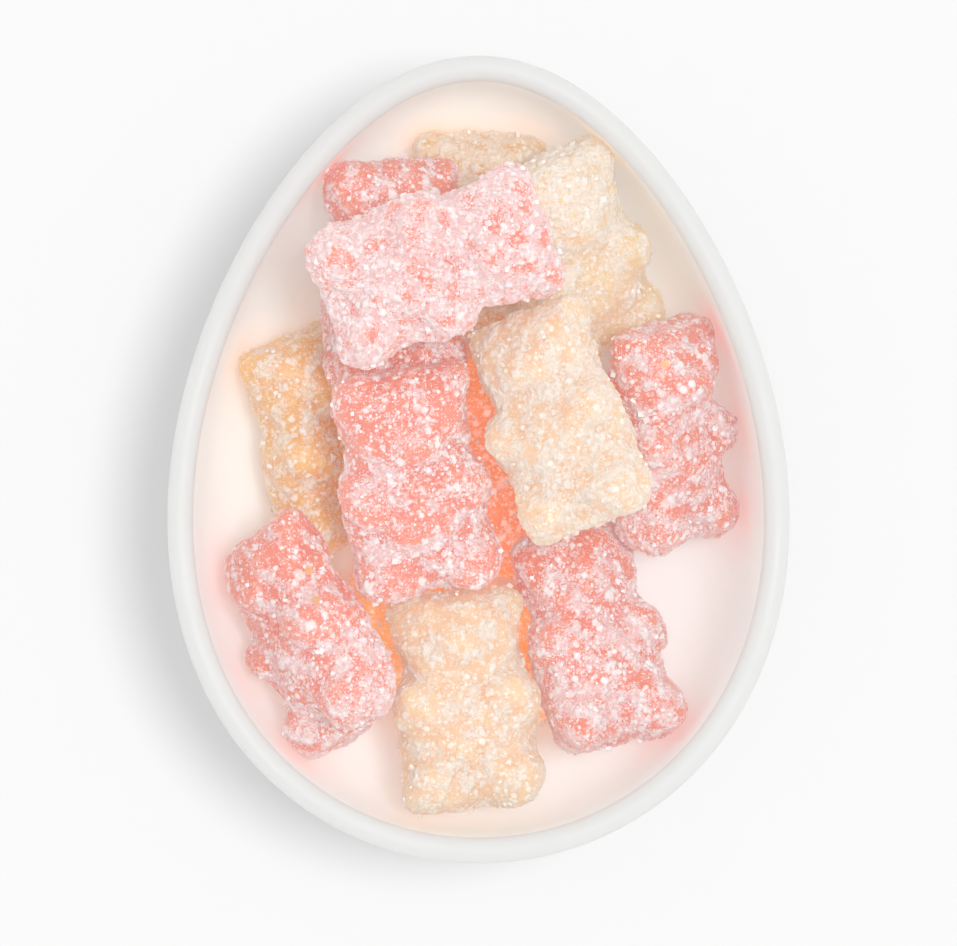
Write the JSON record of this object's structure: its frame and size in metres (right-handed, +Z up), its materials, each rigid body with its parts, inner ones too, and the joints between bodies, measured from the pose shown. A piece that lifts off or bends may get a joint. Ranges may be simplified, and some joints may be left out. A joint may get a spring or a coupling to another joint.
{
  "type": "dish of gummy bears",
  "caption": "Sugar-coated gummy bears in pink, peach and orange, heaped in a small white egg-shaped porcelain dish.",
  "frame": {"origin": "middle of the dish on the surface that it stands on", "axes": "+Z up, +Y along the dish towards its narrow end, +X across it to the right as seen from above"},
  "size_m": [0.0594, 0.077, 0.0372],
  "materials": {
    "porcelain": "smooth white glaze",
    "pink_gummy": "translucent pink gummy under coarse sugar",
    "peach_gummy": "translucent peach gummy under coarse sugar",
    "orange_gummy": "translucent orange gummy under coarse sugar",
    "cream_gummy": "translucent pale yellow gummy under coarse sugar"
  },
  "bodies": {
    "root": {"dish": "porcelain", "bear_low_centre": "pink_gummy", "bear_low_bottom": "orange_gummy", "bear_top_end": "orange_gummy", "bear_left": "orange_gummy", "bear_lower_right": "pink_gummy", "bear_lower_left": "pink_gummy", "bear_right": "pink_gummy", "bear_upper_right": "cream_gummy", "bear_top_left": "pink_gummy", "bear_bottom": "peach_gummy", "bear_centre_left": "pink_gummy", "bear_centre_right": "peach_gummy", "bear_upper_left": "pink_gummy"}
  },
  "joints": []
}
